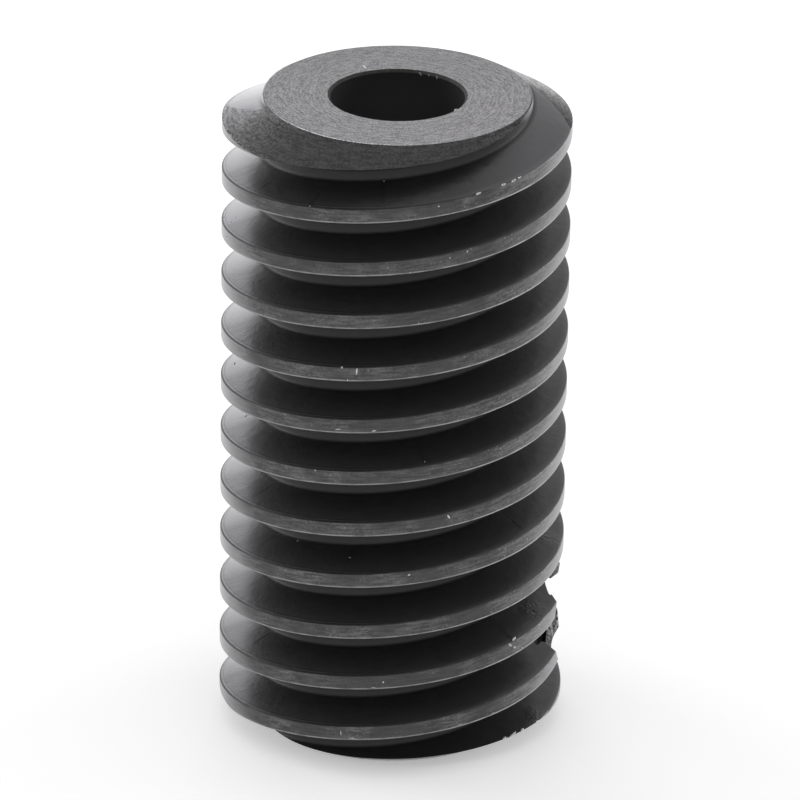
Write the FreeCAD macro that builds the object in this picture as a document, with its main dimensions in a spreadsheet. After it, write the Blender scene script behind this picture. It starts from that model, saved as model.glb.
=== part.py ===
import FreeCAD, Part, Sketcher
import enum
import math
import os

# Two-start, right-hand shell worm of module 0.8, turned from one bar.
# The worm's axis is Z and its lower end face lies on Z = 0, where it stands.
# The set-screw hole passes through the wall near the lower end, along +X.

doc = FreeCAD.newDocument("ShellWorm")
sizes = doc.addObject("Spreadsheet::Sheet", "Sizes")

DRIVING_SIZES = {
    # thread
    "module_size": 0.8,
    "start_count": 2,
    "pitch_diameter": 14.0,
    "pressure_angle": 20.0,
    "addendum_factor": 1.0,
    "dedendum_factor": 1.25,
    "groove_height_at_x": 2.3,
    "cutter_overrun": 0.3,
    # blank
    "worm_length": 30.0,
    "end_face_diameter": 11.9,
    "end_chamfer_angle": 30.0,
    "bore_diameter": 6.0,
    "bore_chamfer": 0.2,
    # set-screw hole, at its tapping diameter, with a countersunk mouth
    "screw_hole_diameter": 3.4,
    "screw_mouth_diameter": 4.8,
    "screw_mouth_angle": 90.0,
    "screw_hole_height": 5.0,
}
for row, (alias, value) in enumerate(DRIVING_SIZES.items(), start=1):
    sizes.set(f"A{row}", alias)
    sizes.set(f"B{row}", str(value))
    sizes.setAlias(f"B{row}", alias)
doc.recompute()

# Sizes that follow from the driving ones.
BORE_RADIUS = "(Sizes.bore_diameter / 2)"
BORE_MOUTH_RADIUS = f"({BORE_RADIUS} + Sizes.bore_chamfer)"
END_FACE_RADIUS = "(Sizes.end_face_diameter / 2)"
PITCH_RADIUS = "(Sizes.pitch_diameter / 2)"
OUTER_RADIUS = f"({PITCH_RADIUS} + Sizes.addendum_factor * Sizes.module_size)"
ROOT_RADIUS = f"({PITCH_RADIUS} - Sizes.dedendum_factor * Sizes.module_size)"
CUTTER_RADIUS = f"({OUTER_RADIUS} + Sizes.cutter_overrun)"
AXIAL_PITCH = "(pi * Sizes.module_size)"
LEAD = f"({AXIAL_PITCH} * Sizes.start_count)"


class At(enum.IntEnum):
    """The point of a line or circle that a constraint takes."""

    START = 1
    END = 2
    CENTRE = 3


class Axis(enum.IntEnum):
    """The sketch's own axes, as constraints number them; the first starts at the origin."""

    HORIZONTAL = -1
    VERTICAL = -2


ORIGIN = (Axis.HORIZONTAL, At.START)


def value_of(expression):
    """The present value of an expression of the sheet, in mm or degrees."""
    result = sizes.evalExpression(expression)
    return float(getattr(result, "Value", result))


def origin_feature(body, role):
    """One of the body's own origin planes or axes."""
    return next(feature for feature in body.Origin.OriginFeatures if feature.Role == role)


def new_sketch(body, name, plane_role):
    sketch = body.newObject("Sketcher::SketchObject", name)
    sketch.AttachmentSupport = [(origin_feature(body, plane_role), "")]
    sketch.MapMode = "FlatFace"
    return sketch


def line(sketch, start, end):
    """A straight line between two (radius, height) corners; returns its number."""
    corners = [FreeCAD.Vector(*corner, 0) for corner in (start, end)]
    return sketch.addGeometry(Part.LineSegment(*corners), False)


def constrain(sketch, kind, *places):
    sketch.addConstraint(Sketcher.Constraint(kind, *places))


def dimension(sketch, name, expression, kind, *places):
    """A named dimension of the sketch, driven by an expression of the sheet."""
    value = value_of(expression)
    if kind == "Angle":
        value = math.radians(value)
    number = sketch.addConstraint(Sketcher.Constraint(kind, *places, value))
    sketch.renameConstraint(number, name)
    sketch.setExpression(f"Constraints.{name}", expression)


def blank_section(body):
    """Half section of the turned blank: bore, end faces, end chamfers and outside."""
    sketch = new_sketch(body, "BlankSection", "YZ_Plane")
    bore = value_of(BORE_RADIUS)
    mouth = value_of(BORE_MOUTH_RADIUS)
    face = value_of(END_FACE_RADIUS)
    outside = value_of(OUTER_RADIUS)
    top = value_of("Sizes.worm_length")
    step = value_of("Sizes.bore_chamfer")
    drop = (outside - face) * math.tan(math.radians(value_of("Sizes.end_chamfer_angle")))
    corners = [
        (mouth, 0),
        (face, 0),
        (outside, drop),
        (outside, top - drop),
        (face, top),
        (mouth, top),
        (bore, top - step),
        (bore, step),
    ]
    lines = [line(sketch, *ends) for ends in zip(corners, corners[1:] + corners[:1])]
    for one, following in zip(lines, lines[1:] + lines[:1]):
        constrain(sketch, "Coincident", one, At.END, following, At.START)
    lower_face, lower_chamfer, cylinder, _, upper_face, _, wall, lower_mouth = lines

    middle = line(sketch, (0, top / 2), (outside, top / 2))
    sketch.setConstruction(middle, True)

    # The lower half lies on the base plane and the upper half mirrors it.
    constrain(sketch, "PointOnObject", lower_face, At.START, Axis.HORIZONTAL)
    constrain(sketch, "Horizontal", lower_face)
    constrain(sketch, "Horizontal", middle)
    constrain(sketch, "PointOnObject", middle, At.START, Axis.VERTICAL)
    constrain(sketch, "PointOnObject", middle, At.END, cylinder)
    constrain(sketch, "Symmetric", lower_face, At.START, upper_face, At.END, middle)
    constrain(sketch, "Symmetric", lower_face, At.END, upper_face, At.START, middle)
    constrain(sketch, "Symmetric", cylinder, At.START, cylinder, At.END, middle)
    constrain(sketch, "Symmetric", wall, At.START, wall, At.END, middle)

    def radius(name, expression, edge):
        dimension(sketch, name, expression, "DistanceX", *ORIGIN, edge, At.START)

    radius("outer_radius", OUTER_RADIUS, cylinder)
    radius("bore_radius", BORE_RADIUS, wall)
    radius("mouth_radius", BORE_MOUTH_RADIUS, lower_face)
    radius("end_face_radius", END_FACE_RADIUS, lower_chamfer)

    def height(name, expression, *ends):
        dimension(sketch, name, expression, "DistanceY", *ends)

    height("mouth_depth", "Sizes.bore_chamfer", lower_mouth, At.END, lower_mouth, At.START)
    height("length", "Sizes.worm_length", *ORIGIN, upper_face, At.START)

    slope = "Sizes.end_chamfer_angle * 1 deg"
    dimension(sketch, "chamfer_angle", slope, "Angle", lower_face, lower_chamfer)
    return sketch


def turn_blank(body):
    """Turned bar with its bore and both chamfered ends."""
    blank = body.newObject("PartDesign::Revolution", "TurnedBar")
    blank.Profile = blank_section(body)
    blank.ReferenceAxis = (origin_feature(body, "Z_Axis"), [""])
    blank.Angle = 360
    body.Tip = blank


def drill_screw_hole(body):
    """Countersunk radial hole from the outside through one wall to the bore, for the set screw.

    Its sketch lies on the plane square to X that touches the outside.
    """
    sketch = new_sketch(body, "ScrewHoleCircle", "YZ_Plane")
    sketch.setExpression("AttachmentOffset.Base.z", OUTER_RADIUS)
    centre = FreeCAD.Vector(0, value_of("Sizes.screw_hole_height"), 0)
    radius = value_of("Sizes.screw_hole_diameter") / 2
    circle = sketch.addGeometry(Part.Circle(centre, FreeCAD.Vector(0, 0, 1), radius), False)
    constrain(sketch, "PointOnObject", circle, At.CENTRE, Axis.VERTICAL)
    dimension(sketch, "diameter", "Sizes.screw_hole_diameter", "Diameter", circle)
    dimension(sketch, "height", "Sizes.screw_hole_height", "DistanceY", *ORIGIN, circle, At.CENTRE)
    doc.recompute()

    hole = body.newObject("PartDesign::Hole", "ScrewHole")
    hole.Profile = sketch
    hole.Threaded = False
    hole.DepthType = "Dimension"
    hole.DrillPoint = "Flat"
    hole.HoleCutType = "Countersink"
    hole.HoleCutCustomValues = True
    hole.setExpression("Diameter", "Sizes.screw_hole_diameter")
    hole.setExpression("Depth", OUTER_RADIUS)
    hole.setExpression("HoleCutDiameter", "Sizes.screw_mouth_diameter")
    hole.setExpression("HoleCutCountersinkAngle", "Sizes.screw_mouth_angle")
    body.Tip = hole


def groove_section(level):
    """Outline of one groove in the plane of the axis, with its middle at a height.

    The flanks stand at the pressure angle and the groove is half an axial pitch
    wide at the pitch radius, where each flank has a corner that marks the pitch line.
    """
    pitch_radius = value_of(PITCH_RADIUS)
    half_at_pitch = value_of(AXIAL_PITCH) / 4
    slope = math.tan(math.radians(value_of("Sizes.pressure_angle")))
    radii = [value_of(ROOT_RADIUS), pitch_radius, value_of(CUTTER_RADIUS)]
    halves = [half_at_pitch + (radius - pitch_radius) * slope for radius in radii]
    above = [FreeCAD.Vector(radius, 0, level + half) for radius, half in zip(radii, halves)]
    below = [FreeCAD.Vector(radius, 0, level - half) for radius, half in zip(radii, halves)]
    corners = above + below[::-1]
    return Part.makePolygon(corners + corners[:1])


def thread_cutter(start):
    """Right-hand helical bar that fills one start's groove.

    It has whole turns, from below the blank to above it, so that the groove runs
    out through both end chamfers.
    """
    lead = value_of(LEAD)
    level = value_of(f"(Sizes.groove_height_at_x + {start} * {AXIAL_PITCH})") - 2 * lead
    turns = math.ceil(value_of("Sizes.worm_length") / lead) + 3
    cone_angle = 0
    helix = Part.makeLongHelix(lead, turns * lead, value_of(PITCH_RADIUS), cone_angle)
    helix.translate(FreeCAD.Vector(0, 0, level))
    sweep = Part.BRepOffsetAPI.MakePipeShell(Part.Wire(helix.Edges))
    sweep.setBiNormalMode(FreeCAD.Vector(0, 0, 1))
    sweep.add(groove_section(level))
    sweep.build()
    sweep.makeSolid()
    cutter = doc.addObject("Part::Feature", f"ThreadCutter{start + 1}")
    cutter.Shape = sweep.shape()
    return cutter


def cut_thread(blank):
    """The finished worm: the blank less one helical groove for each start."""
    cutters = doc.addObject("Part::Compound", "ThreadCutters")
    cutters.Links = [thread_cutter(start) for start in range(round(value_of("Sizes.start_count")))]
    finished = doc.addObject("Part::Cut", "Worm")
    finished.Label = "worm"
    finished.Base = blank
    finished.Tool = cutters
    return finished


def check(document, pieces):
    """Stops the build if any feature failed or any piece isn't one sound solid."""
    for feature in document.Objects:
        if "Invalid" in feature.State or "Error" in feature.State:
            raise RuntimeError(f"{feature.Label} could not be built")
    for piece in pieces:
        if piece.Shape.isNull() or not piece.Shape.isValid() or len(piece.Shape.Solids) != 1:
            raise RuntimeError(f"{piece.Label} is not one sound solid")


blank = doc.addObject("PartDesign::Body", "Blank")
turn_blank(blank)
doc.recompute()
solid_volume = blank.Shape.Volume
drill_screw_hole(blank)
doc.recompute()
drilled_volume = blank.Shape.Volume
worm = cut_thread(blank)
doc.recompute()
check(doc, [blank, worm])
if not solid_volume > drilled_volume > worm.Shape.Volume:
    raise RuntimeError("the screw hole or the thread took no metal away")
print(f"worm: {worm.Shape.Volume:.1f} mm3")

os.makedirs("parts", exist_ok=True)
worm.Shape.exportStep(f"parts/{worm.Label}.step")
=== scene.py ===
import bpy
import bmesh
import math
from mathutils import Euler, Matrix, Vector


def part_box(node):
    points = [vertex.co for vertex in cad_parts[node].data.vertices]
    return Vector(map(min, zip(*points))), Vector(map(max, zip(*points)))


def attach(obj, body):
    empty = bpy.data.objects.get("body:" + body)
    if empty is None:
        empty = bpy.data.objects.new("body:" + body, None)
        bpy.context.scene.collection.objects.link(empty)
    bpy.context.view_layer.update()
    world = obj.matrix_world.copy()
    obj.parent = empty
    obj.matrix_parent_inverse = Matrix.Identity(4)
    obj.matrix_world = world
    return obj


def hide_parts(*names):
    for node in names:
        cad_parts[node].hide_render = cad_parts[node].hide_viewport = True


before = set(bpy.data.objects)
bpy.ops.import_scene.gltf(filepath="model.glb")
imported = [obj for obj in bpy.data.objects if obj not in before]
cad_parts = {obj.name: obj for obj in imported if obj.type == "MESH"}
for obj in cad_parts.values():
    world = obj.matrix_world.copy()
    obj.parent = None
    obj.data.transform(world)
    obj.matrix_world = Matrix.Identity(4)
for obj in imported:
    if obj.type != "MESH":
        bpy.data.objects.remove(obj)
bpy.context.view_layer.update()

# Camera. The worm stands on its end face and is seen from the side where the set-screw
# hole shows in the right outline, from about 24 degrees above, through a long lens.
VIEW_AZIMUTH = 2.2
VIEW_TILT = 23.84
VIEW_ROLL = 0.77
VIEW_YAW = -0.045
CAMERA_BACK = 0.36373
CAMERA_UP = 0.17591

bpy.ops.object.camera_add()
camera = bpy.context.object
camera.name = "camera"
camera.data.sensor_width = 36
camera.data.lens = 396.84
camera.data.clip_start = 0.01
camera.location = (0, -CAMERA_BACK, CAMERA_UP)
camera.location.rotate(Euler((0, 0, math.radians(VIEW_AZIMUTH))))
aim = Euler((math.radians(90 - VIEW_TILT), 0, math.radians(VIEW_AZIMUTH + VIEW_YAW)))
roll = Euler((0, 0, math.radians(VIEW_ROLL)))
camera.rotation_euler = (aim.to_matrix() @ roll.to_matrix()).to_euler()
bpy.context.scene.camera = camera

# Floor. A wide sheet of white opal acrylic. It is lit from below, as on a light table for
# product photographs, so it stays almost white close round the worm. Its top lies a
# hundredth of a millimetre under the end face, so that the two don't share a plane.
FLOOR_SIZE = 3
FLOOR_HEIGHT = -0.00001


def hex_colour(code):
    """A colour written as sRGB hex, as linear red, green, blue and alpha."""
    channels = [int(code[place:place + 2], 16) / 255 for place in (1, 3, 5)]
    return (*[c / 12.92 if c <= 0.04045 else ((c + 0.055) / 1.055) ** 2.4 for c in channels], 1.0)


def fill(tree, node, sockets):
    """Gives a node's sockets, by name or number, a value, a hex colour or another node's output.

    Only the sockets that the node's settings bring into use count, and a node stands for its
    first output in use.
    """
    in_use = [socket for socket in node.inputs if socket.enabled]
    for place, value in sockets.items():
        named = [socket for socket in in_use if socket.name == place]
        socket = named[0] if named else in_use[place]
        if isinstance(value, bpy.types.Node):
            value = next(output for output in value.outputs if output.enabled)
        if isinstance(value, bpy.types.NodeSocket):
            tree.links.new(value, socket)
        else:
            socket.default_value = hex_colour(value) if isinstance(value, str) else value


def new_material(name):
    """An empty material with one Principled shader, and its node tree and shader."""
    material = bpy.data.materials.new(name)
    material.use_nodes = True
    return material, material.node_tree, material.node_tree.nodes["Principled BSDF"]


bpy.ops.mesh.primitive_plane_add(size=FLOOR_SIZE, location=(0, 0, FLOOR_HEIGHT))
floor = bpy.context.object
floor.name = "floor"

# Opal acrylic, matt: an even white without gloss, which glows a little of itself.
acrylic, acrylic_tree, acrylic_shader = new_material("white_opal_acrylic")
fill(acrylic_tree, acrylic_shader, {
    "Base Color": "#f4f4f4",
    "Roughness": 0.9,
    "Emission Color": "#ffffff",
    "Emission Strength": 0.34,
})
floor.data.materials.append(acrylic)

# Studio light. An even white surround and three large soft lights low down: one behind, which
# the end face and the left flanks mirror, and one to each side for the ends of the crests.
LIGHT_DISTANCE = 0.9
WORM_MIDDLE = Vector((0, 0, 0.015))


def soft_light(name, azimuth, elevation, width, height, power, colour="#ffffff"):
    """A rectangular light that faces the worm's middle."""
    away = Vector((0, 1, 0))
    away.rotate(Euler((math.radians(elevation), 0, math.radians(azimuth))))
    bpy.ops.object.light_add(type="AREA")
    light = bpy.context.object
    light.name = name
    light.data.shape = "RECTANGLE"
    light.data.size = width
    light.data.size_y = height
    light.data.energy = power
    light.data.color = hex_colour(colour)[:3]
    light.location = WORM_MIDDLE + away * LIGHT_DISTANCE
    light.rotation_euler = away.to_track_quat("Z", "Y").to_euler()


soft_light("back_light", 10, 22, width=0.66, height=0.45, power=1.9, colour="#fbfaff")
soft_light("left_light", 66, 12, width=0.5, height=0.6, power=3.0)
soft_light("right_light", -66, 10, width=0.5, height=0.5, power=2.2)

world = bpy.data.worlds.new("studio")
world.use_nodes = True
fill(world.node_tree, world.node_tree.nodes["Background"], {"Color": "#ffffff", "Strength": 0.62})
bpy.context.scene.world = world
bpy.context.scene.view_settings.view_transform = "Standard"

# Turned bar. A length of steel bar is faced, chamfered at 30 degrees and bored in a lathe,
# and its bore has small broken edges. Its outside is left proud here, because the thread
# form that crosses it later brings the finished outside diameter.
MM = 0.001
LOW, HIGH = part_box("worm")
LENGTH = (HIGH.z - LOW.z) / MM
OUTER_RADIUS = HIGH.x / MM
END_FACE_RADIUS = 5.95
CHAMFER_SLOPE = math.tan(math.radians(30))
BORE_RADIUS = 3.0
BORE_CHAMFER = 0.12
PROUD_RADIUS = OUTER_RADIUS + 0.8
TURN_STEPS = 240
MERGE_DISTANCE = 0.001

# The worm is blackened in a hot salt bath after it is cut, which leaves a skin of magnetite
# about a micron thick: dark grey, with a satin gloss, through which every lathe mark still
# shows. Each cut has its own marks, so it has its own material. The skin is an oxide, so where
# it lies thick it is a little less metallic, and where it is rubbed off it shows pale steel.
THICK_SKIN_METALLIC = 0.87
RUBBED_STEEL = "#8e8e8f"


def add(tree, kind, sockets, **settings):
    """Adds a node with its settings, and with what fill puts in its sockets."""
    node = tree.nodes.new("ShaderNode" + kind)
    for name, value in settings.items():
        setattr(node, name, value)
    fill(tree, node, sockets)
    return node


def lathe_coordinates(tree):
    """A point's place in mm, that place's X, Y and Z, and its distance from the worm's axis.

    A pattern drawn on such a place has its scale in spots to the millimetre.
    """
    place = add(tree, "TexCoord", {}).outputs["Object"]
    place = add(tree, "VectorMath", {"Vector": place, "Scale": 1 / MM}, operation="SCALE")
    x, y, z = add(tree, "SeparateXYZ", {"Vector": place}).outputs
    flat = add(tree, "CombineXYZ", {"X": x, "Y": y})
    radius = add(tree, "VectorMath", {"Vector": flat}, operation="LENGTH")
    return place, (x, y, z), radius


def streaks(tree, x, y, across, length, width, detail=2.0):
    """Noise drawn out along the cut: marks of a length and a width in mm, across a direction."""
    sides = {"X": (x, length), "Y": (y, length), "Z": (across, width)}
    spot = add(tree, "CombineXYZ", {
        axis: add(tree, "Math", {0: side, 1: 1 / size}, operation="MULTIPLY")
        for axis, (side, size) in sides.items()
    })
    return add(tree, "TexNoise", {"Vector": spot, "Scale": 1.0, "Detail": detail})


def glancing(tree, tone, paler, start):
    """A tone that turns paler where the skin is seen at a glancing angle, as rubbed oxide does."""
    facing = add(tree, "LayerWeight", {"Blend": 0.5}).outputs["Facing"]
    share = add(tree, "MapRange", {"Value": facing, "From Min": start, "From Max": 1.0})
    return add(tree, "Mix", {"Factor": share, "A": tone, "B": paler}, data_type="RGBA")


def faced_end():
    """End faces, faced square: fine rings round the bore and an even grain from the bath.

    Both are drawn about twice as coarse as they are, so that they show.
    """
    material, tree, shader = new_material("faced_black_oxide")
    place, (x, y, z), radius = lathe_coordinates(tree)
    rings = streaks(tree, x, y, radius, length=0.45, width=0.1)
    grain = add(tree, "TexNoise", {"Vector": place, "Scale": 11.0, "Detail": 3.0})
    both = add(tree, "Mix", {"Factor": 0.35, "A": grain, "B": rings})
    level = add(tree, "MapRange", {"Value": both, "From Min": 0.4, "From Max": 0.6})
    tone = add(tree, "Mix", {"Factor": level, "A": "#302f30", "B": "#7e7d7d"}, data_type="RGBA")

    # Painted shade: the end face is darkened a little towards the back, where the light falls off.
    share = add(tree, "MapRange", {"Value": y, "From Min": -2.0, "From Max": 5.0, "To Max": 0.16})
    tone = add(tree, "Mix", {"Factor": share, "A": tone, "B": "#1e1e1e"}, data_type="RGBA")

    # The rim is rubbed to a thin pale line at the front left.
    rim = add(tree, "MapRange", {
        "Value": radius, "From Min": END_FACE_RADIUS - 0.09, "From Max": END_FACE_RADIUS - 0.05,
    })
    for side, unworn, rubbed_and_highlit in ((x, 3.0, -1.0), (y, -2.6, -4.4)):
        share = add(tree, "MapRange", {"Value": side, "From Min": unworn, "From Max": rubbed_and_highlit})
        rim = add(tree, "Math", {0: rim, 1: share}, operation="MULTIPLY")
    rim = add(tree, "Math", {0: rim, 1: level}, operation="MULTIPLY")
    tone = add(tree, "Mix", {"Factor": rim, "A": tone, "B": "#c0bfbf"}, data_type="RGBA")

    dull = add(tree, "MapRange", {
        "Value": grain, "From Min": 0.3, "From Max": 0.7, "To Min": 0.38, "To Max": 0.5,
    })
    relief = add(tree, "Bump", {"Height": both, "Strength": 1.0, "Distance": 0.02 * MM})
    fill(tree, shader, {"Base Color": tone, "Roughness": dull, "Normal": relief, "Metallic": 1.0})
    return material


def turned_chamfer():
    """End chamfers: a coarser feed, so that the rings are wider, and flecks along the edge."""
    material, tree, shader = new_material("chamfered_black_oxide")
    place, (x, y, z), radius = lathe_coordinates(tree)
    rings = streaks(tree, x, y, radius, length=0.8, width=0.14)
    grain = add(tree, "TexNoise", {"Vector": place, "Scale": 9.0, "Detail": 3.0})
    both = add(tree, "Mix", {"Factor": 0.4, "A": grain, "B": rings})
    level = add(tree, "MapRange", {"Value": both, "From Min": 0.4, "From Max": 0.6})

    # The cut is smooth at the front and torn to a coarser grain from there to the back.
    smooth = add(tree, "Mix", {"Factor": level, "A": "#454545", "B": "#5c5c5c"}, data_type="RGBA")
    coarse = add(tree, "Mix", {"Factor": level, "A": "#1e1e1e", "B": "#686868"}, data_type="RGBA")
    share = add(tree, "MapRange", {"Value": y, "From Min": -5.5, "From Max": -2.0})
    tone = add(tree, "Mix", {"Factor": share, "A": smooth, "B": coarse}, data_type="RGBA")

    edge = add(tree, "MapRange", {
        "Value": radius, "From Min": OUTER_RADIUS - 0.14, "From Max": OUTER_RADIUS - 0.04,
    })
    flecks = add(tree, "MapRange", {"Value": grain, "From Min": 0.52, "From Max": 0.66})
    flecks = add(tree, "Math", {0: edge, 1: flecks}, operation="MULTIPLY")
    tone = add(tree, "Mix", {"Factor": flecks, "A": tone, "B": RUBBED_STEEL}, data_type="RGBA")
    paler = add(tree, "Mix", {"Factor": level, "A": "#404040", "B": "#d6d6d6"}, data_type="RGBA")
    tone = glancing(tree, tone, paler, start=0.68)

    relief = add(tree, "Bump", {"Height": both, "Strength": 1.0, "Distance": 0.02 * MM})
    fill(tree, shader, {"Base Color": tone, "Roughness": 0.38, "Normal": relief, "Metallic": 1.0})
    return material


def bored_wall():
    """Bore and set-screw hole: bored and tapped, with a dull skin.

    The skin is darkest near the bore's upper mouth and on its broken edges; the screw hole is
    darkened too, as painted shade.
    """
    material, tree, shader = new_material("bored_black_oxide")
    place, (x, y, z), radius = lathe_coordinates(tree)
    rings = streaks(tree, x, y, z, length=1.0, width=0.12)
    wall = add(tree, "Mix", {"Factor": rings, "A": "#626263", "B": "#6c6c6d"}, data_type="RGBA")
    mouth = add(tree, "MapRange", {"Value": z, "From Min": 27.0, "From Max": 29.8})
    wall = add(tree, "Mix", {"Factor": mouth, "A": wall, "B": "#3a3a3b"}, data_type="RGBA")
    grain = add(tree, "TexNoise", {"Vector": place, "Scale": 6.0, "Detail": 3.0})
    dark = add(tree, "Mix", {"Factor": grain, "A": "#262626", "B": "#5a5a58"}, data_type="RGBA")
    # Painted shade: the screw hole's wall is darkened, and the bore's broken edges with it.
    outside = add(tree, "MapRange", {
        "Value": radius, "From Min": BORE_RADIUS, "From Max": BORE_RADIUS + 0.03,
    })
    tone = add(tree, "Mix", {"Factor": outside, "A": wall, "B": dark}, data_type="RGBA")
    relief = add(tree, "Bump", {"Height": rings, "Strength": 0.3, "Distance": 0.008 * MM})
    fill(tree, shader, {
        "Base Color": tone, "Roughness": 0.68, "Normal": relief, "Metallic": THICK_SKIN_METALLIC,
    })
    return material


def outline(name, corners, closed):
    """A new object that holds only a line through (radius, height) corners, in mm."""
    bpy.ops.object.select_all(action="DESELECT")
    bpy.ops.mesh.primitive_circle_add(vertices=len(corners))
    drawn = bpy.context.object
    drawn.name = name
    shape = bmesh.new()
    shape.from_mesh(drawn.data)
    shape.verts.ensure_lookup_table()
    if not closed:
        shape.edges.remove(shape.edges.get((shape.verts[0], shape.verts[-1])))
    for vertex, (radius, height) in zip(shape.verts, corners):
        vertex.co = (radius, 0, height)
    shape.to_mesh(drawn.data)
    shape.free()
    return drawn


def sweep_round(drawn, rise, turns, steps):
    """Turns an outline about Z, with a rise per turn, and merges where turns meet."""
    screw = drawn.modifiers.new("sweep", "SCREW")
    screw.angle = 2 * math.pi
    screw.screw_offset = rise
    screw.iterations = turns
    screw.steps = screw.render_steps = steps
    screw.use_merge_vertices = False
    bpy.context.view_layer.objects.active = drawn
    bpy.ops.object.modifier_apply(modifier=screw.name)
    bpy.ops.object.mode_set(mode="EDIT")
    bpy.ops.mesh.select_all(action="SELECT")
    bpy.ops.mesh.remove_doubles(threshold=MERGE_DISTANCE)
    bpy.ops.mesh.normals_make_consistent(inside=False)
    bpy.ops.object.mode_set(mode="OBJECT")


def combine(kept, tool, operation):
    """Boolean of two solids. The tool is used up, and leaves its finish where it cuts."""
    boolean = kept.modifiers.new("combine", "BOOLEAN")
    boolean.operation = operation
    boolean.solver = "EXACT"
    boolean.material_mode = "TRANSFER"
    boolean.object = tool
    bpy.context.view_layer.objects.active = kept
    bpy.ops.object.modifier_apply(modifier=boolean.name)
    bpy.data.objects.remove(tool)


chamfer_drop = (PROUD_RADIUS - END_FACE_RADIUS) * CHAMFER_SLOPE
bar = outline("turned_bar", [
    (BORE_RADIUS + BORE_CHAMFER, 0),
    (END_FACE_RADIUS, 0),
    (PROUD_RADIUS, chamfer_drop),
    (PROUD_RADIUS, LENGTH - chamfer_drop),
    (END_FACE_RADIUS, LENGTH),
    (BORE_RADIUS + BORE_CHAMFER, LENGTH),
    (BORE_RADIUS, LENGTH - BORE_CHAMFER),
    (BORE_RADIUS, BORE_CHAMFER),
], closed=True)
sweep_round(bar, 0, 1, TURN_STEPS)
chamfer_finish, bored_finish = turned_chamfer(), bored_wall()
for finish in (faced_end(), chamfer_finish, bored_finish):
    bar.data.materials.append(finish)

# Past the first limit a face lies square to the axis, as an end face does, and past the second
# it slopes as a chamfer does. The rest is bore, with its broken edges, or comes off later.
SQUARENESS_LIMITS = (0.99, 0.8)
for face in bar.data.polygons:
    face.material_index = sum(abs(face.normal.z) <= limit for limit in SQUARENESS_LIMITS)

# Set-screw hole. It is drilled along X through one wall, countersunk at 90 degrees and
# tapped M4, so its wall shows the thread's ridges where it breaks out of the worm's own thread.
HOLE_HEIGHT = 5.0
HOLE_MOUTH_RADIUS = 2.4
COUNTERSINK_OVERRUN = 0.6
TAPPED_MINOR_RADIUS = 1.7
TAPPED_MAJOR_RADIUS = 2.0
TAPPED_PITCH = 0.7
TAPPED_CREST = TAPPED_PITCH / 8
TAPPED_FLANK_SLOPE = math.tan(math.radians(30))
HOLE_START = 1.0
HOLE_TURNS = 12
HOLE_STEPS = 48


def close_ends(swept, middle):
    """Closes both open ends of a swept form with a fan to a point on its axis."""
    shape = bmesh.new()
    shape.from_mesh(swept.data)
    for above in (False, True):
        rim = [
            edge for edge in shape.edges
            if edge.is_boundary and (edge.verts[0].co.z > middle) == above
        ]
        heights = [vertex.co.z for edge in rim for vertex in edge.verts]
        fan = bmesh.ops.extrude_edge_only(shape, edges=rim)["geom"]
        tips = [part for part in fan if isinstance(part, bmesh.types.BMVert)]
        bmesh.ops.pointmerge(shape, verts=tips, merge_co=(0, 0, sum(heights) / len(heights)))
    bmesh.ops.recalc_face_normals(shape, faces=shape.faces)
    shape.to_mesh(swept.data)
    shape.free()


flank_run = (TAPPED_MAJOR_RADIUS - TAPPED_MINOR_RADIUS) * TAPPED_FLANK_SLOPE
tap = outline("tap", [
    (TAPPED_MINOR_RADIUS, 0),
    (TAPPED_MAJOR_RADIUS, flank_run),
    (TAPPED_MAJOR_RADIUS, flank_run + TAPPED_CREST),
    (TAPPED_MINOR_RADIUS, 2 * flank_run + TAPPED_CREST),
    (TAPPED_MINOR_RADIUS, TAPPED_PITCH),
], closed=False)
sweep_round(tap, TAPPED_PITCH, HOLE_TURNS, HOLE_STEPS)
close_ends(tap, HOLE_TURNS * TAPPED_PITCH / 2)
tap.rotation_euler = (0, math.radians(90), 0)
tap.location = (HOLE_START, 0, HOLE_HEIGHT)

depth = HOLE_MOUTH_RADIUS + COUNTERSINK_OVERRUN
bpy.ops.object.select_all(action="DESELECT")
bpy.ops.mesh.primitive_cone_add(vertices=HOLE_STEPS * 2, radius1=depth, radius2=0, depth=depth)
countersink = bpy.context.object
countersink.rotation_euler = (0, math.radians(-90), 0)
countersink.location = (OUTER_RADIUS + COUNTERSINK_OVERRUN - depth / 2, 0, HOLE_HEIGHT)
bpy.context.view_layer.update()
for cutter, finish in ((tap, bored_finish), (countersink, chamfer_finish)):
    cutter.data.materials.append(finish)
    combine(bar, cutter, "DIFFERENCE")

# Thread. Two starts of a right-hand worm thread of module 0.8, cut in the lathe. Its flanks
# stand at 20 degrees, the tool's nose leaves a small radius in the root, and the crest edges
# are broken by a few hundredths of a millimetre.
MODULE = 0.8
ADDENDUM, DEDENDUM = 1.0, 1.25
PITCH = math.pi * MODULE
STARTS = 2
LEAD = STARTS * PITCH
ROOT_RADIUS = OUTER_RADIUS - (ADDENDUM + DEDENDUM) * MODULE
FLANK_SLOPE = math.tan(math.radians(20))
HALF_CREST = PITCH / 4 - ADDENDUM * MODULE * FLANK_SLOPE
HALF_ROOT = PITCH / 4 - DEDENDUM * MODULE * FLANK_SLOPE
CREST_BREAK = 0.06
ROOT_FILLET = 0.16
ARC_STEPS = 3
GROOVE_HEIGHT_AT_X = 2.3
CREST_HEIGHT_AT_X = GROOVE_HEIGHT_AT_X + PITCH / 2
TURNS_BELOW = 2
PUCKERED = [(7.3, -1.1, 9.0), (6.6, -2.9, 6.3), (7.0, -3.2, 1.1)]


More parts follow.
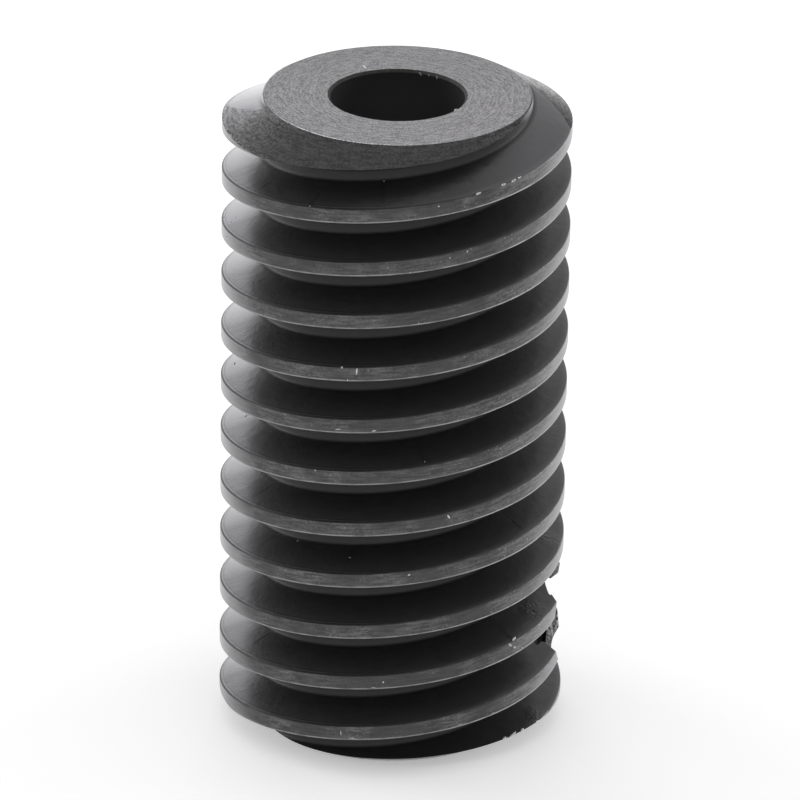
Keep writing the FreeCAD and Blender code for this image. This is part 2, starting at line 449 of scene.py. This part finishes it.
def cut_thread():
    """Thread: satin flanks, a duller root, and rubbed crests whose edges show bare steel.

    The lathe marks are drawn a few times as coarse as they are, so that they show.
    """
    material, tree, shader = new_material("thread_black_oxide")
    place, (x, y, z), radius = lathe_coordinates(tree)

    # Heights are measured from the middle of the nearest crest. The angle runs from the front,
    # so that the one line where it starts again is at the back.
    forward = add(tree, "Math", {0: y, 1: -1.0}, operation="MULTIPLY")
    angle = add(tree, "Math", {0: x, 1: forward}, operation="ARCTAN2")
    rise = add(tree, "Math", {0: angle, 1: LEAD / (2 * math.pi)}, operation="MULTIPLY")
    height = add(tree, "Math", {0: z, 1: rise}, operation="SUBTRACT")
    crest_in_front = CREST_HEIGHT_AT_X + LEAD / 4
    from_crest = add(tree, "Math", {0: height, 1: crest_in_front}, operation="SUBTRACT")
    from_crest = add(tree, "Math", {0: from_crest, 1: PITCH / 2, 2: -PITCH / 2}, operation="WRAP")
    on_crest = add(tree, "MapRange", {
        "Value": radius,
        "From Min": OUTER_RADIUS - CREST_BREAK, "From Max": OUTER_RADIUS - CREST_BREAK / 2,
    })
    in_root = add(tree, "MapRange", {
        "Value": radius, "From Min": ROOT_RADIUS + 0.25, "From Max": ROOT_RADIUS + 0.05,
    })

    # The crest land: even, with patches a few millimetres long that are rubbed and grainy, and
    # a painted highlight that pales it all over towards +X.
    marks = streaks(tree, x, y, height, length=0.8, width=0.09)
    grain = add(tree, "TexNoise", {"Vector": place, "Scale": 9.0, "Detail": 3.0})
    both = add(tree, "Mix", {"Factor": 0.62, "A": grain, "B": marks})
    level = add(tree, "MapRange", {"Value": both, "From Min": 0.4, "From Max": 0.6})
    patches = add(tree, "TexNoise", {"Vector": place, "Scale": 0.55, "Detail": 4.0})
    patches = add(tree, "MapRange", {"Value": patches, "From Min": 0.42, "From Max": 0.62})
    land = add(tree, "Mix", {"Factor": level, "A": "#444445", "B": "#4f4f50"}, data_type="RGBA")
    worn = add(tree, "Mix", {"Factor": level, "A": "#464647", "B": "#686869"}, data_type="RGBA")
    land = add(tree, "Mix", {"Factor": patches, "A": land, "B": worn}, data_type="RGBA")
    # Painted highlight: towards +X the land is paled, as the crest ends there catch the light.
    rubbed_and_highlit = add(tree, "Mix", {"Factor": level, "A": "#646465", "B": "#868687"}, data_type="RGBA")
    share = add(tree, "MapRange", {"Value": x, "From Min": 4.6, "From Max": 7.2, "To Max": 0.85})
    land = add(tree, "Mix", {"Factor": share, "A": land, "B": rubbed_and_highlit}, data_type="RGBA")
    land = glancing(tree, land, "#b4b4b6", start=0.45)

    # The flanks: even, with faint blotches; darker in the root, as painted shade, and paler near
    # the upper end on the right, as a painted highlight.
    blotches = add(tree, "TexNoise", {"Vector": place, "Scale": 1.3, "Detail": 4.0})
    flank = add(tree, "Mix", {"Factor": blotches, "A": "#484849", "B": "#565657"}, data_type="RGBA")
    # Painted highlight: the flanks are paled near the upper end on the right.
    upper = add(tree, "MapRange", {"Value": z, "From Min": 26.5, "From Max": 28.0})
    share = add(tree, "MapRange", {"Value": x, "From Min": 3.0, "From Max": 6.2})
    share = add(tree, "Math", {0: upper, 1: share}, operation="MULTIPLY")
    flank = add(tree, "Mix", {"Factor": share, "A": flank, "B": "#68686a"}, data_type="RGBA")
    # Painted shade: the flanks are darkened in the root.
    flank = add(tree, "Mix", {"Factor": in_root, "A": flank, "B": "#3d3d3e"}, data_type="RGBA")
    flank = glancing(tree, flank, "#d0d0d2", start=0.66)
    tone = add(tree, "Mix", {"Factor": on_crest, "A": flank, "B": land}, data_type="RGBA")

    # The crest's lower edge is rubbed to bare steel, and flecks of it lie in the worn patches.
    flecks = add(tree, "TexNoise", {"Vector": place, "Scale": 9.0, "Detail": 1.0})
    flecks = add(tree, "MapRange", {"Value": flecks, "From Min": 0.71, "From Max": 0.8})
    flecks = add(tree, "Math", {0: flecks, 1: patches}, operation="MULTIPLY")
    below = add(tree, "Math", {0: from_crest, 1: -HALF_CREST}, operation="SUBTRACT")
    below = add(tree, "Math", {0: below}, operation="ABSOLUTE")
    line = add(tree, "MapRange", {"Value": below, "From Min": 0.08, "From Max": 0.05})
    wear = streaks(tree, x, y, height, length=0.7, width=0.5, detail=5.0)
    wear = add(tree, "MapRange", {
        "Value": wear, "From Min": 0.35, "From Max": 0.65, "To Min": 0.4, "To Max": 1.3,
    })
    line = add(tree, "Math", {0: line, 1: wear}, operation="MULTIPLY")
    rubbed_and_highlit = add(tree, "Math", {0: line, 1: flecks}, operation="MAXIMUM")
    rubbed_and_highlit = add(tree, "Math", {0: rubbed_and_highlit, 1: on_crest}, operation="MULTIPLY")
    # Painted highlight: the bare steel on the crest's lower edge is paler towards +X.
    share = add(tree, "MapRange", {"Value": x, "From Min": 2.0, "From Max": 6.0})
    steel = add(tree, "Mix", {"Factor": share, "A": RUBBED_STEEL, "B": "#b6b6b7"}, data_type="RGBA")
    tone = add(tree, "Mix", {"Factor": rubbed_and_highlit, "A": tone, "B": steel}, data_type="RGBA")

    # Inside the upper edge lies a paler strip of flank. To the left it is narrow and has a dark
    # line of painted shade on each side; towards +X these fade, and it is wide and fades out.
    above = add(tree, "Math", {0: from_crest, 1: HALF_CREST}, operation="SUBTRACT")
    on_upper_flank = add(tree, "Math", {0: above, 1: 0.0}, operation="GREATER_THAN")
    depth = add(tree, "Math", {0: OUTER_RADIUS, 1: radius}, operation="SUBTRACT")
    sharp = add(tree, "MapRange", {"Value": depth, "From Min": 0.15, "From Max": 0.1})
    share = add(tree, "MapRange", {"Value": x, "From Min": 2.0, "From Max": -3.0, "To Max": 0.3})
    sharp = add(tree, "Math", {0: sharp, 1: share}, operation="MULTIPLY")
    soft = add(tree, "MapRange", {"Value": above, "From Min": 0.1, "From Max": 0.02})
    share = add(tree, "MapRange", {"Value": x, "From Min": -2.0, "From Max": 4.0, "To Max": 0.22})
    soft = add(tree, "Math", {0: soft, 1: share}, operation="MULTIPLY")
    strip = add(tree, "Math", {0: sharp, 1: soft}, operation="MAXIMUM")
    strip = add(tree, "Math", {0: strip, 1: on_upper_flank}, operation="MULTIPLY")
    tone = add(tree, "Mix", {"Factor": strip, "A": tone, "B": RUBBED_STEEL}, data_type="RGBA")
    # Painted shade: a dark line along the upper edge and another inside the strip, fading towards
    # +X.
    edge = add(tree, "Math", {0: above}, operation="ABSOLUTE")
    edge = add(tree, "MapRange", {"Value": edge, "From Min": 0.04, "From Max": 0.02})
    inner = add(tree, "Math", {0: depth, 1: 0.17}, operation="SUBTRACT")
    inner = add(tree, "Math", {0: inner}, operation="ABSOLUTE")
    inner = add(tree, "MapRange", {
        "Value": inner, "From Min": 0.04, "From Max": 0.01, "To Max": 0.5,
    })
    inner = add(tree, "Math", {0: inner, 1: on_upper_flank}, operation="MULTIPLY")
    edge = add(tree, "Math", {0: edge, 1: inner}, operation="MAXIMUM")
    share = add(tree, "MapRange", {
        "Value": x, "From Min": -2.0, "From Max": 4.0, "To Min": 0.85, "To Max": 0.1,
    })
    edge = add(tree, "Math", {0: edge, 1: share}, operation="MULTIPLY")
    tone = add(tree, "Mix", {"Factor": edge, "A": tone, "B": "#1c1c1d"}, data_type="RGBA")

    dull = add(tree, "Mix", {"Factor": on_crest, "A": 0.34, "B": 0.42})
    dull = add(tree, "Mix", {"Factor": in_root, "A": dull, "B": 0.5})

    # The flanks are rippled. Those on the left are also puckered a little all over, and where
    # they were knocked, low on the right, they are puckered by many small dents.
    ripple = add(tree, "TexNoise", {"Vector": place, "Scale": 2.5, "Detail": 5.0})
    ripple = add(tree, "Math", {0: ripple, 1: 1.3}, operation="MULTIPLY")
    puckers = add(tree, "TexNoise", {"Vector": place, "Scale": 6.0, "Detail": 3.0})
    share = add(tree, "MapRange", {"Value": x, "From Min": -2.5, "From Max": -5.0, "To Max": 0.9})
    ripple = add(tree, "Math", {0: puckers, 1: share, 2: ripple}, operation="MULTIPLY_ADD")
    for spot in PUCKERED:
        near = add(tree, "VectorMath", {0: place, 1: spot}, operation="DISTANCE")
        near = add(tree, "MapRange", {
            "Value": near, "From Min": 0.8, "From Max": 0.3, "To Max": 3.5,
        })
        ripple = add(tree, "Math", {0: puckers, 1: near, 2: ripple}, operation="MULTIPLY_ADD")
    rough = add(tree, "Mix", {"Factor": on_crest, "A": ripple, "B": both})
    relief = add(tree, "Bump", {"Height": rough, "Strength": 1.0, "Distance": 0.014 * MM})
    fill(tree, shader, {
        "Base Color": tone, "Roughness": dull, "Normal": relief, "Metallic": THICK_SKIN_METALLIC,
    })
    return material


def rounded(before, corner, after, radius):
    """The points of an arc that rounds a corner of an outline."""
    before, corner, after = Vector(before), Vector(corner), Vector(after)
    back, ahead = (before - corner).normalized(), (after - corner).normalized()
    half = back.angle(ahead) / 2
    centre = corner + (back + ahead).normalized() * radius / math.sin(half)
    first = corner + back * radius / math.tan(half) - centre
    last = corner + ahead * radius / math.tan(half) - centre
    sweep = math.copysign(math.pi - 2 * half, first.cross(last))
    points = []
    for step in range(ARC_STEPS + 1):
        arm = first.copy()
        arm.rotate(Euler((0, 0, sweep * step / ARC_STEPS)).to_matrix().to_2x2())
        points.append(tuple(centre + arm))
    return points


def one_pitch(height):
    """Thread form from the middle of one crest to just before the next."""
    crest = (OUTER_RADIUS, height)
    crest_edge = (OUTER_RADIUS, height + HALF_CREST)
    root_corner = (ROOT_RADIUS, height + PITCH / 2 - HALF_ROOT)
    next_root_corner = (ROOT_RADIUS, height + PITCH / 2 + HALF_ROOT)
    next_crest_edge = (OUTER_RADIUS, height + PITCH - HALF_CREST)
    next_crest = (OUTER_RADIUS, height + PITCH)
    return [
        crest,
        *rounded(crest, crest_edge, root_corner, CREST_BREAK),
        *rounded(crest_edge, root_corner, next_root_corner, ROOT_FILLET),
        *rounded(root_corner, next_root_corner, next_crest_edge, ROOT_FILLET),
        *rounded(next_root_corner, next_crest_edge, next_crest, CREST_BREAK),
    ]


# The form is swept through whole turns, from below the bar to above it, and keeps only what it
# shares with the bar.
start = CREST_HEIGHT_AT_X - TURNS_BELOW * LEAD
turns = math.ceil(LENGTH / LEAD) + 2 * TURNS_BELOW - 1
form = [point for number in range(STARTS) for point in one_pitch(start + number * PITCH)]
worm = outline("worm_turned", form + [(OUTER_RADIUS, start + LEAD)], closed=False)
sweep_round(worm, LEAD, turns, TURN_STEPS)
close_ends(worm, LENGTH / 2)
thread_finish = cut_thread()
worm.data.materials.append(thread_finish)
combine(worm, bar, "INTERSECT")

# Handling marks. The thin edges of the crests, of the bore and of the lower end are nicked
# where the worm has knocked against others in the box, and small burrs stand up beside them.
# Each is given by its angle from +X, radius and height, and then by its half sizes along
# the radius, round the axis and along the axis. All are placed as the photograph shows them.
NICKS = [
    (-50.6, 7.8, 28.33, 0.08, 0.16, 0.08),
    (-48.5, 7.8, 28.42, 0.06, 0.12, 0.05),
    (-46.3, 7.8, 28.36, 0.09, 0.18, 0.07),
    (-43.6, 7.8, 28.43, 0.06, 0.16, 0.05),
    (-60, 7.8, 28.2, 0.05, 0.22, 0.07),
    (-74, 7.8, 27.8, 0.04, 0.05, 0.05),
    (-77, 7.8, 27.3, 0.04, 0.04, 0.03),
    (-69, 7.8, 27.4, 0.04, 0.04, 0.03),
    (-83, 7.8, 24.7, 0.05, 0.05, 0.04),
    (-80, 7.8, 24.7, 0.05, 0.04, 0.04),
    (-70, 7.8, 25.3, 0.03, 0.05, 0.03),
    (-64, 7.8, 25.5, 0.03, 0.06, 0.04),
    (-80, 7.8, 22.3, 0.04, 0.05, 0.03),
    (-78, 7.8, 22.3, 0.04, 0.04, 0.03),
    (-105, 7.8, 20.0, 0.07, 0.07, 0.06),
    (-100, 7.8, 19.9, 0.02, 0.18, 0.04),
    (-103, 7.8, 19.4, 0.04, 0.10, 0.03),
    (-126, 7.8, 17.1, 0.06, 0.05, 0.05),
    (-106, 7.8, 17.0, 0.03, 0.03, 0.16),
    (-94, 7.8, 17.1, 0.03, 0.04, 0.12),
    (-114, 7.8, 14.8, 0.05, 0.07, 0.04),
    (-69, 7.8, 12.8, 0.03, 0.12, 0.05),
    (-82, 7.8, 10.1, 0.03, 0.05, 0.07),
    (-64, 7.8, 7.4, 0.05, 0.05, 0.04),
    (-44, 7.8, 5.7, 0.06, 0.16, 0.06),
    (-42, 7.8, 5.5, 0.05, 0.08, 0.08),
    (-38, 7.8, 5.3, 0.06, 0.07, 0.05),
    (-136, 7.8, 3.8, 0.06, 0.07, 0.04),
    (-111, 7.8, 4.2, 0.05, 0.06, 0.03),
    (-93, 7.8, 4.5, 0.04, 0.16, 0.03),
    (-90, 7.8, 4.8, 0.03, 0.05, 0.06),
    (-100, 7.8, 1.9, 0.05, 0.18, 0.04),
    (-104, 7.8, 2.1, 0.03, 0.03, 0.13),
    (-51, 7.8, 2.6, 0.07, 0.07, 0.05),
    (-64, 7.8, 2.4, 0.06, 0.13, 0.04),
    (-117, 7.75, 27.4, 0.05, 0.05, 0.05),
    (-93, 6.1, 28.35, 0.04, 0.04, 0.04),
    (-77, 7.55, 15.48, 0.07, 0.03, 0.04),
    (-104, 6.8, 10.33, 0.05, 0.12, 0.045),
    (-131, 6.2, 10.2, 0.07, 0.04, 0.06),
    (-149, 6.2, 4.95, 0.09, 0.04, 0.07),
    (73, 3.03, 29.89, 0.06, 0.16, 0.05),
    (65, 3.03, 29.89, 0.05, 0.10, 0.04),
    (57, 3.03, 29.89, 0.06, 0.14, 0.05),
    (116.5, 3.7, 30.0, 0.30, 0.05, 0.06),
]
PITS = [
    (-27, 7.72, 0.96, 0.30, 0.15, 0.30),
    (-11, 7.3, 9.03, 0.16, 0.10, 0.05),
    (-25, 7.2, 6.31, 0.14, 0.12, 0.05),
    (-37, 6.9, 11.27, 0.10, 0.10, 0.05),
    (-146, 6.6, 12.38, 0.08, 0.12, 0.05),
    (-142, 7.1, 27.3, 0.05, 0.05, 0.05),
    (-176, 7.7, 24.1, 0.05, 0.05, 0.05),
    (-171, 7.2, 24.35, 0.04, 0.05, 0.04),
    (-168, 7.45, 24.3, 0.05, 0.05, 0.05),
    (-163, 7.8, 23.9, 0.04, 0.05, 0.05),
    (-150, 6.8, 22.28, 0.06, 0.07, 0.05),
]
SCRATCHES = [
    (178, 7.2, 16.67, 0.04, 0.32, 0.06),
    (-174, 6.7, 14.47, 0.05, 0.30, 0.06),
]
BURRS = [
    (-28, 3.0, 29.9, 0.10, 0.11, 0.07),
    (-47, 7.38, 0.86, 0.07, 0.30, 0.06),
    (-43.5, 7.45, 0.91, 0.07, 0.12, 0.06),
    (-40, 7.50, 0.93, 0.06, 0.32, 0.05),
    (-35.5, 7.58, 0.98, 0.07, 0.14, 0.06),
    (-42, 7.72, 5.90, 0.07, 0.14, 0.06),
]
TILT_STEP = 0.1


def lumps(marks, turn):
    """Small faceted lumps, one for each mark, as one object.

    Each is tilted and turned a little further than the last, so that no two look alike.
    """
    made = []
    for number, (angle, radius, height, *half_sizes) in enumerate(marks):
        bpy.ops.mesh.primitive_ico_sphere_add(subdivisions=1, radius=1)
        lump = bpy.context.object
        lump.scale = half_sizes
        lump.rotation_euler = (TILT_STEP * number, 0, math.radians(angle + turn * number))
        lump.location = (radius, 0, height)
        lump.location.rotate(Euler((0, 0, math.radians(angle))))
        made.append(lump)
    bpy.ops.object.select_all(action="DESELECT")
    for lump in made:
        lump.select_set(True)
    bpy.context.view_layer.objects.active = made[0]
    bpy.ops.object.join()
    bpy.ops.object.transform_apply(location=True, rotation=True, scale=True)
    return made[0]


# Bare steel, where a knock has broken the skin: small bright spots. Pits and scratches are
# older than the bath, so they are black inside.
bare, bare_tree, bare_shader = new_material("bare_steel_in_nicks")
fill(bare_tree, bare_shader, {"Base Color": "#c4c4c5", "Metallic": 1.0, "Roughness": 0.4})
for marks, turn, operation, finish in (
    (PITS, 40, "DIFFERENCE", thread_finish),
    (SCRATCHES, -25, "DIFFERENCE", thread_finish),
    (NICKS, 0, "DIFFERENCE", bare),
    (BURRS, 0, "UNION", bare),
):
    marked = lumps(marks, turn)
    marked.data.materials.append(finish)
    combine(worm, marked, operation)

bpy.ops.object.select_all(action="DESELECT")
worm.select_set(True)
worm.scale = (MM, MM, MM)
bpy.ops.object.transform_apply(location=True, rotation=True, scale=True)
bpy.ops.object.shade_smooth_by_angle(angle=math.radians(25))
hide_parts("worm")
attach(worm, "root")
